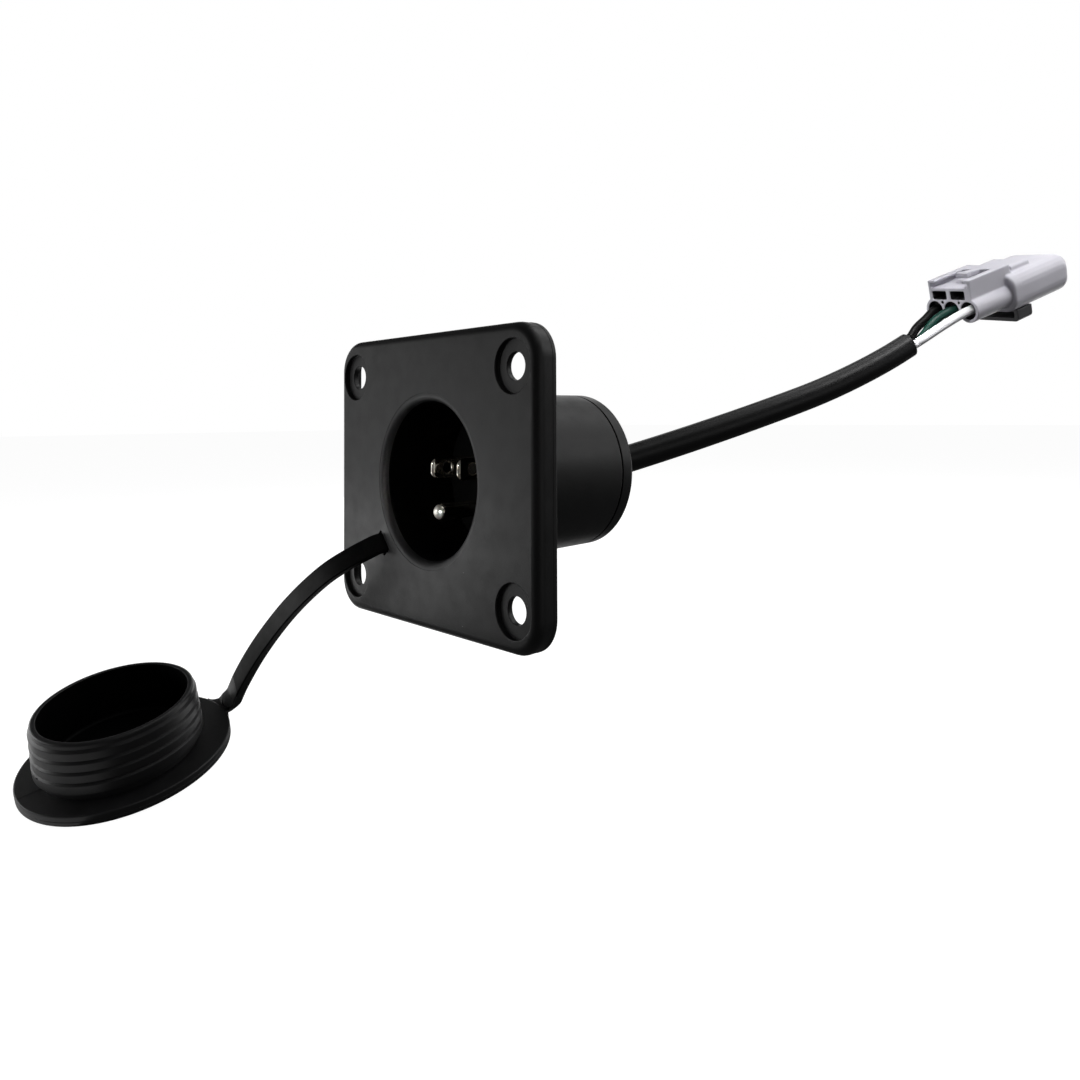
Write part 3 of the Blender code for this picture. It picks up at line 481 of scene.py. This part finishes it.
# How far an edge is set in, and how deep below the blade's flat side that is
BLADE_ROUND = ((0.8, 0.0), (0.55, 0.08), (0.3, 0.22), (0.12, 0.38), (0.02, 0.55), (0.0, 0.65))
BORE_ROUND = ((0.45, 0.0), (0.25, 0.06), (0.1, 0.2), (0.0, 0.45))
for name, x in (("line", -BLADE_X), ("neutral", BLADE_X)):
    node = nodes[f"blade_{name}"]
    tail_end = max(v.co.y for v in node.data.vertices) / MM
    half = BLADE_W / 2
    blade = Form()
    faces, bores = [], []
    for inset, depth in BLADE_ROUND:
        less = min(inset, 0.3)
        for end in (-1, 1):
            upper = softened([(BLADE_TIP + inset, 0, 0), (BLADE_TIP + inset, half - inset, BLADE_CORNER - inset),
                              (SHOULDER + less, half - inset, 0), (SHOULDER + less, half + COLLAR - less, 0),
                              (TAIL - less, half + COLLAR - less, 0), (TAIL - less, BLADE_TAIL - less, 0),
                              (tail_end - less, BLADE_TAIL - less, 0)], steps=10)[1:]
            line = upper + [(y, -z) for y, z in reversed(upper)]
            faces.append((end * (BLADE_T / 2 - depth), blade.loop(
                [(x + end * (BLADE_T / 2 - depth), y, BLADE_Z + z) for y, z in line])))
    for grow, depth in BORE_ROUND:
        for end in (-1, 1):
            bores.append((end * (BLADE_T / 2 - depth), blade.loop(
                [(x + end * (BLADE_T / 2 - depth),
                  BLADE_TIP + BLADE_HOLE_AT + (BLADE_HOLE_R + grow) * math.cos(math.pi * i / 24),
                  BLADE_Z + (BLADE_HOLE_R + grow) * math.sin(math.pi * i / 24)) for i in range(48)])))
    faces.sort(key=lambda pair: pair[0])
    bores.sort(key=lambda pair: pair[0])
    faces, bores = [loop for _, loop in faces], [loop for _, loop in bores]
    blade.loft(faces)
    blade.loft(bores)
    for end in (0, -1):
        blade.fill(faces[end], bores[end])
    stands_for(blade.made(f"{name}_blade", nickel, 40), "inlet", "contact_metal", f"blade_{name}")
PIN_Z, PIN_R, PIN_TIP = BLADE_Z - 11.9, 2.4, -3.1
tail_end = max(v.co.y for v in nodes["ground_pin"].data.vertices) / MM
nose = [(PIN_R * math.sin(t), PIN_TIP + PIN_R * (1 - math.cos(t))) for t in [math.pi / 2 * i / 14 for i in range(15)]]
pin = Form()
pin.lathe(nose + softened([(PIN_R, -0.6, 0), (PIN_R, SHOULDER, 0.1), (PIN_R + COLLAR, SHOULDER, 0.15),
                           (PIN_R + COLLAR, TAIL, 0.15), (PIN_TAIL, TAIL, 0.1), (PIN_TAIL, tail_end, 0.2),
                           (0, tail_end, 0)], steps=3), 64, (0, PIN_Z))
stands_for(pin.made("round_pin", pin_nickel, 30), "inlet", "contact_metal", "ground_pin")


# Connector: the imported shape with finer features, remeshed so that its edges round off as moulded ones do
CONN_AT = (84.0, 168.5, 57.6)
CONN_HEADING, CONN_PITCH, CONN_ROLL = 23.7, 20.5, 9.6
PITCH = 7.9              # between the wires
CORE_X, CORE_Z, CORE_LOW_Z = PITCH / 2, 3.1, -3.6      # small holes between the bores, above and below
WINDOWS_X, WINDOWS_Z = (-5.05, 3.65), 5.9
connector_frame = (Matrix.Translation(Vector(CONN_AT)) @ Matrix.Rotation(math.radians(-CONN_HEADING), 4, "Z") @
                   Matrix.Rotation(math.radians(CONN_PITCH), 4, "X") @
                   Matrix.Rotation(math.radians(CONN_ROLL), 4, "Y"))
frame_m = Matrix.Translation(connector_frame.translation * MM) @ connector_frame.to_3x3().to_4x4()


def tool(kind, *size):
    """A box (x, y, z ranges) or a rod along Y (x, z, radius, y range), in the connector's frame."""
    form = Form()
    if kind == "rod":
        x, z, radius, y0, y1 = size
        form.lathe([(0, y0), (radius, y0), (radius, y1), (0, y1)], 48, (x, z))
    else:
        (x0, x1), (y0, y1), (z0, z1) = size
        ends = [form.loop([(x0, y0, z), (x1, y0, z), (x1, y1, z), (x0, y1, z)]) for z in (z0, z1)]
        form.loft(ends)
        for end in ends:
            form.mesh.faces.new(end)
    return form.made("shape", connector_grey, 0, False)


def remeshed(name, node, look, cell, passes, cuts=(), joins=()):
    """A node's own mesh with tools cut out or joined on, in cells of one size, relaxed in passes."""
    data = nodes[node].data.copy()
    data.materials.clear()
    data.transform(frame_m.inverted())
    base = bpy.data.objects.new(name, data)
    bpy.context.collection.objects.link(base)
    for i, cut in enumerate(cuts):
        change = base.modifiers.new(f"cut_{i}", "BOOLEAN")
        change.operation = "DIFFERENCE"
        change.object = cut
    for i, join in enumerate(joins):
        change = base.modifiers.new(f"join_{i}", "BOOLEAN")
        change.operation = "UNION"
        change.object = join
    fine = base.modifiers.new("fine", "REMESH")
    fine.mode = "VOXEL"
    fine.voxel_size = cell * MM
    relax = base.modifiers.new("relax", "SMOOTH")
    relax.factor = 0.5
    relax.iterations = passes
    bpy.context.view_layer.update()
    result = bpy.data.meshes.new_from_object(base.evaluated_get(bpy.context.evaluated_depsgraph_get()))
    for old in (base, *cuts, *joins):
        bpy.data.objects.remove(old, do_unlink=True)
    result.transform(frame_m)
    result.materials.clear()
    return piece_of(name, result, look, 0, False)


# Cut out: the small holes, the latch lever's two slots and the steps beside the saddle
cuts = [tool("rod", x, CORE_Z, 0.6, -1.0, 3.0) for x in (-CORE_X, CORE_X)]
cuts += [tool("rod", x, CORE_LOW_Z, 0.5, -1.0, 2.0) for x in (-CORE_X, CORE_X)]
cuts += [tool("box", x, (10.2, 16.5), (9.6, 13.5)) for x in ((-2.9, -1.9), (1.9, 2.9))]
cuts += [tool("box", x, (23.6, 26.0), (8.8, 12.5)) for x in ((-11.6, -5.6), (5.6, 11.6))]
# Joined on: the latch's cross bar, two ribs beside the lever and the shell's rounded rear
joins = [tool("box", (-9.4, 9.4), (16.8, 23.6), (10.4, 11.8))]
joins += [tool("box", (x - 0.5, x + 0.5), (13.0, 15.0), (8.5, 9.3)) for x in (-5.6, 5.6)]
collar = Form()
collar.loft([collar.loop([(x, y, z) for x, z in rounded_box(14.2 - inset, 7.5 - inset, 5.4 - inset, 8, (0, 0.8))])
             for inset, y in softened([(6, 19.8, 0), (0, 19.8, 1.2), (0, 24, 0)], steps=6)[1:]])
collar.mesh.verts.ensure_lookup_table()
collar.fill(collar.mesh.verts[:36])
collar.fill(collar.mesh.verts[-36:])
joins.append(collar.made("shape", connector_grey, 0, False))
housing = remeshed("connector_body", "connector_housing", connector_grey, 0.3, 3, cuts, joins)
to_connector = connector_frame.inverted()


def in_connector_hollow(at):
    """The bores, the two windows and the small round holes of the rear face."""
    x, y, z = to_connector @ at
    windows = abs(z - WINDOWS_Z) < 1.85 and min(abs(x - middle) for middle in WINDOWS_X) < 3.7 and 0.5 < y < 9.4
    bores = min(math.hypot(x - middle, z) for middle in (-PITCH, 0, PITCH)) < 3.65 and 0.5 < y < 15
    holes = min(math.hypot(x - middle, z - CORE_Z) for middle in (-CORE_X, CORE_X)) < 0.75 and 0.15 < y < 4
    return windows or bores or holes


# Painted shade: the bores, windows and small holes turn dark grey
paint_shade_within(housing, painted_shade_grey, in_connector_hollow)
stands_for(housing, "inlet", "grey_plastic", "connector_housing")
holder = remeshed("connector_lock", "connector_retainer", retainer_grey, 0.22, 8,
                  [tool("box", (-12, -8.4), (20, 38), (-14, -7.2))])
stands_for(holder, "inlet", "dark_grey_plastic", "connector_retainer")


# Sealing cap: disc, ribbed plug and strap
LID_R, LID_T, LID_SHIFT, PLUG_L = 28.0, 3.6, 1.4, 19.3
RIBS, RIB_STEP = 4, 3.6
# The lid's own frame has its disc's top at z = 0, the plug along Z and the strap at +Y
lid_frame = (Matrix.Translation((-108.6, -46.3, -88.9)) @ Matrix.Rotation(math.radians(10.5), 4, "X") @
             Matrix.Rotation(math.radians(12.7), 4, "Y") @ Matrix.Rotation(math.radians(7.7), 4, "Z"))
PLUG_R = PORT_R - 0.2
ROOT_R = PLUG_R - 0.9
CUP_R = ROOT_R - 1.9
cap = Form()
disc = lid_frame @ Matrix.Translation((0, LID_SHIFT, 0))
cap.lathe(softened([(0, -LID_T, 0), (LID_R, -LID_T, 0.5), (LID_R, -2.05, 0.04), (LID_R - 0.14, -1.93, 0.04),
                    (LID_R - 0.14, -1.86, 0.04), (LID_R, -1.74, 0.04), (LID_R, 0, 0.45), (0, 0, 0)]), 200, turned=disc)
plug = [(0, -LID_T / 2, 0), (20.3, -LID_T / 2, 0), (20.3, 3.0, 0.05)]
foot = 3.0
for k in range(RIBS):
    top = PLUG_L - 1.7 - RIB_STEP * (RIBS - 1 - k)
    less = 0.6 * k / (RIBS - 1)     # the plug narrows towards its mouth
    plug += [(PLUG_R - less, foot, 0.15), (PLUG_R - less, top - 0.9, 0.55), (ROOT_R - less / 2, top, 0.05)]
    foot = top + 0.15
plug += [(ROOT_R - 0.3, top + 0.1, 0.05), (ROOT_R - 0.3, PLUG_L, 0.75), (CUP_R, PLUG_L, 0.35),
         (CUP_R, 2.0, 1.2), (16.9, 2.0, 0.05), (16.7, 2.2, 0.05), (0, 2.2, 0)]
cap.lathe(softened(plug, steps=5), 200, turned=lid_frame)


def ease(value):
    """From 0 to 1, slow at both ends."""
    value = min(max(value, 0.0), 1.0)
    return value * value * (3 - 2 * value)


def strap_section(point, along, side, width, thick):
    """The strap's rounded section at a point of its course."""
    side = (side - along * side.dot(along)).normalized()
    up = along.cross(side)
    return [point + side * a + up * b for a, b in rounded_box(width / 2, thick / 2, 0.4, 3)]


# The strap's course, from the slot to the lug: (distance along the line between them, y)
edge = LID_R + LID_SHIFT
tab = [lid_frame @ Vector((0, edge + y, -LID_T / 2)) for y in (1.2, -1.5, -4.5)]
lie = tab[0] - slot_mid
lie = Vector((lie.x, 0, lie.z)).normalized()
STRAP_WAY = [(0.4, -7.4), (2.6, -9.5), (7.1, -12.9), (13.4, -16.2), (23.0, -18.5), (35.2, -19.8), (47.9, -20.0),
             (62.2, -19.5), (74.8, -18.5), (84.0, -17.5), (92.0, -16.5), (99.0, -15.4), (105.0, -14.7)]
route = [slot_mid + Vector((0, y, 0)) for y in (FLOOR + 0.65, FRONT)]
route += [slot_mid + lie * s + Vector((0, y, 0)) for s, y in STRAP_WAY] + tab
spine = smooth_curve(route, 0.9)
tab_across = (lid_frame.to_3x3() @ Vector((1, 0, 0))).normalized()
outwards = Vector((0, -1, 0))
# It starts with a wider foot behind the plate, widens along its way and turns flat to the lid at its end
sections = [strap_section(point, outwards, across, 10.4, 2.8)
            for point in (slot_mid + Vector((0, FLOOR + 2.45, 0)), spine[0])]
spine_l = [0.0]
for a, b in zip(spine, spine[1:]):
    spine_l.append(spine_l[-1] + (b - a).length)
way_l = spine_l[-1]
for i, point in enumerate(spine):
    before, after = spine[max(i - 2, 0)], spine[min(i + 2, len(spine) - 1)]
    along = (after - before).normalized() if i else outwards
    twist = ease(1 - (way_l - 4.5 - spine_l[i]) / 14.0)
    grow = ease((spine_l[i] - 12.0) / (way_l - 26.0))
    sections.append(strap_section(point, along, across.lerp(tab_across, twist), STRAP_W + 0.8 * grow,
                                  STRAP_T + 0.9 * grow - 0.7 * twist))
sections = [cap.loop(section) for section in sections]
cap.loft(sections)
for end in (sections[0], sections[-1]):
    cap.mesh.faces.new(end)
# The lug between strap and disc
lug_side = [(6.2, edge - 3.0)] + arc((6.2, edge + 2.8), 2.8, 270, 180, 14)
lug_outline = lug_side + [(-x, y) for x, y in reversed(lug_side)]
lug = []
for inset, z in softened([(2, -3.1, 0), (0, -3.1, 0.35), (0, -0.5, 0.35), (2, -0.5, 0)], steps=3)[1:-1]:
    points = [(x - math.copysign(inset, x) * (1 if y > edge - 2.9 else 0), y) for x, y in lug_outline]
    lug.append(cap.loop([lid_frame @ Vector((x, y, z)) for x, y in points]))
cap.loft(lug)
for end in (lug[0], lug[-1]):
    cap.fill(end)
# Mould seam across the disc
seam_turn = math.radians(263)
seam_way = Vector((math.cos(seam_turn), math.sin(seam_turn)))
seam_across = Vector((-math.sin(seam_turn), math.cos(seam_turn)))
seam = []
for reach in (20.0, 27.6):
    seam.append(cap.loop([disc @ Vector((*(seam_way * reach + seam_across * a), z))
                          for a, z in ((-0.14, -0.1), (-0.05, 0.05), (0.05, 0.05), (0.14, -0.1))]))
cap.loft(seam)
for end in seam:
    cap.mesh.faces.new(end)
# The pit that the mould leaves in the lowest rib
pit_turn = math.radians(271)
pit_at = lid_frame @ Vector((PLUG_R * math.cos(pit_turn), PLUG_R * math.sin(pit_turn), 5.3))
bmesh.ops.recalc_face_normals(cap.mesh, faces=cap.mesh.faces)
around = [face for face in cap.mesh.faces if (face.calc_center_median() / MM - pit_at).length < 0.75]
bmesh.ops.inset_region(cap.mesh, faces=around, thickness=0.05 * MM, depth=-1.2 * MM)
cap_piece = cap.made("tethered_cap", cap_black, 35)
to_lid = lid_frame.inverted()
# Painted shade: the inside of the cap's cup turns near black
paint_shade_within(cap_piece, painted_shade_black, lambda at: (to_lid @ at).z > 1.9 and (to_lid @ at).xy.length < CUP_R + 0.05)
# Painted shade: the strap's faces get the darker copy of the rubber
paint_shade_within(cap_piece, strap_shaded_black, lambda at: (to_lid @ at).xy.length > LID_R + 4.0)
stands_for(cap_piece, "cap", "black_rubber", "sealing_cap")


CABLE_R = 4.82
CABLE_INSIDE = 46.0
CABLE_ROUTE = [(0, 50, 0), (0, 56, 0.1), (2.6, 66, 1.6), (8.2, 74.9, 4.4), (19.9, 91.2, 10.4), (33.3, 110.1, 17.8),
               (47.3, 129.9, 26.2), (57.1, 143.7, 33.4), (64.7, 154.3, 39.9), (69.6, 160.9, 44.6)]
WIRE_R = 1.75
WIRE_WAYS = {
    "black": ((68.8, 160.6, 46.6), (69.8, 162.2, 47.7), (71.7, 163.4, 51.1), (74.2, 167.2, 55.0)),
    "green": ((68.8, 162.7, 43.3), (69.9, 164.4, 44.5), (74.1, 165.3, 48.7), (77.2, 166.1, 52.9),
              (80.4, 167.0, 55.7)),
    "white": ((71.7, 160.3, 44.2), (72.7, 162.0, 45.3), (77.0, 161.0, 47.4), (82.4, 161.6, 50.7),
              (87.3, 163.1, 53.8)),
}
cable_points = smooth_curve([(0, CABLE_INSIDE, 0)] + CABLE_ROUTE, 3.0)
cable = cord_curve("cable", cable_points, CABLE_R, jacket_black)
stands_for(cable, "inlet", "black_rubber", "cable_jacket")
for (colour, way), x in zip(WIRE_WAYS.items(), (-PITCH, 0.0, PITCH)):
    ends = [connector_frame @ Vector((x, y, 0)) for y in (-1.0, 4.0, 12.2)]
    points = smooth_curve(list(way) + ends, 1.2)
    wire = cord_curve(f"{colour}_wire", points, WIRE_R, insulation[colour])
    stands_for(wire, "inlet", f"{colour}_insulation", f"wire_{colour}")


# CAD nodes that keep their own shape
looks = {
    "contact_carrier": carrier_shade_black,
    "terminal_line": tin, "terminal_neutral": tin, "terminal_ground": tin,
    "lead_black": insulation["black"], "lead_white": insulation["white"], "lead_green": insulation["green"],
    "cable_grommet": grommet_black,
    "connector_terminal_1": tin, "connector_terminal_2": tin, "connector_terminal_3": tin,
    "wire_seal_1": seal_black, "wire_seal_2": seal_black, "wire_seal_3": seal_black,
}
for name, look in looks.items():
    nodes[name].data.materials.clear()
    nodes[name].data.materials.append(look)


# Stage: a pale floor, a white world and soft lights
def area_light(name, at, towards, size, power):
    """A rectangular panel that the camera doesn't see, in metres and watts."""
    data = bpy.data.lights.new(name, "AREA")
    data.shape = "RECTANGLE"
    data.size, data.size_y = size
    data.energy = power
    made = bpy.data.objects.new(name, data)
    bpy.context.collection.objects.link(made)
    made.location = at
    made.rotation_mode = "QUATERNION"
    made.rotation_quaternion = (Vector(towards) - Vector(at)).to_track_quat("-Z", "Y")
    made.visible_camera = False
    return made


MIDDLE = Vector((-0.01, 0.02, -0.02))
for name, azimuth, height, power, size in (
    ("back_high", 170, 65, 2.4, 0.5), ("right_back", 120, 35, 2.2, 0.5), ("back_low", 170, 5, 1.8, 0.5),
    ("left_back", -120, 5, 1.5, 0.5), ("front_left", -35, 5, 1.0, 0.22), ("left", -70, 5, 0.65, 0.5),
    ("right", 80, 5, 0.5, 0.5), ("back_mid", 170, 35, 0.9, 0.5), ("right_high", 80, 65, 0.9, 0.5),
    ("back_right", 140, 18, 0.55, 0.3), ("far_left", -98, 8, 0.35, 0.4), ("left_back_high", -138, 30, 0.7, 0.5),
):
    # azimuth from the front (-Y) round to the right, and height, both in degrees
    a, e = math.radians(azimuth), math.radians(height)
    way = Vector((math.sin(a) * math.cos(e), -math.cos(a) * math.cos(e), math.sin(e)))
    area_light(name, MIDDLE + way, MIDDLE, (size, size), power)
# What a white table throws back: one low panel, and three that lie just above the floor
floor_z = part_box("sealing_cap")[0].z
area_light("table_low", (-0.2, -0.125, -0.062), (0.0, 0.0, -0.032), (0.13, 0.055), 0.055)
for name, x, y, width, depth, power in (
    ("table_left", -0.19, -0.03, 0.085, 0.16, 0.035), ("table_front", -0.14, -0.092, 0.14, 0.06, 0.014),
    ("table_back", -0.14, 0.09, 0.16, 0.16, 0.07),
):
    area_light(name, (x, y, floor_z + 0.0005), (x, y, 0.0), (width, depth), power)
# Into the port's contacts, on the connector and on the wires behind it
for name, at, towards, size, power, opening in (
    ("port_key", (0.13, -0.48, 0.07), (0.0, 0.0, 0.0), 0.03, 0.006, 8),
    ("connector_key", (0.165, 0.13, 0.23), (0.102, 0.205, 0.07), 0.08, 0.036, 60),
    ("wires_key", (0.08, 0.08, 0.1), (0.0765, 0.1605, 0.0475), 0.03, 0.005, 24),
):
    area_light(name, at, towards, (size, size), power).data.spread = math.radians(opening)

floor_mesh = bmesh.new()
bmesh.ops.create_grid(floor_mesh, x_segments=1, y_segments=1, size=8.0)
floor_data = bpy.data.meshes.new("floor")
floor_mesh.to_mesh(floor_data)
floor_mesh.free()
floor = bpy.data.objects.new("floor", floor_data)
bpy.context.collection.objects.link(floor)
floor.location.z = floor_z
pale = shader_of("pale_floor", (0.3, 0.3, 0.3), 0.9, specular=0.1)
glow = pale.node_tree.nodes["Principled BSDF"].inputs
glow["Emission Color"].default_value = (1, 1, 1, 1)
glow["Emission Strength"].default_value = 0.95
floor_data.materials.append(pale)
floor.visible_diffuse = floor.visible_glossy = False

# The world is white to the camera and faint to everything else
world = bpy.data.worlds.new("studio")
bpy.context.scene.world = world
world.use_nodes = True
tree = world.node_tree
background = tree.nodes["Background"]
paths = tree.nodes.new("ShaderNodeLightPath")
level = tree.nodes.new("ShaderNodeMapRange")
level.inputs["To Min"].default_value = 0.07
level.inputs["To Max"].default_value = 1.0
tree.links.new(paths.outputs["Is Camera Ray"], level.inputs["Value"])
tree.links.new(level.outputs["Result"], background.inputs["Strength"])
background.inputs["Color"].default_value = (1, 1, 1, 1)
bpy.context.scene.view_settings.view_transform = "Standard"
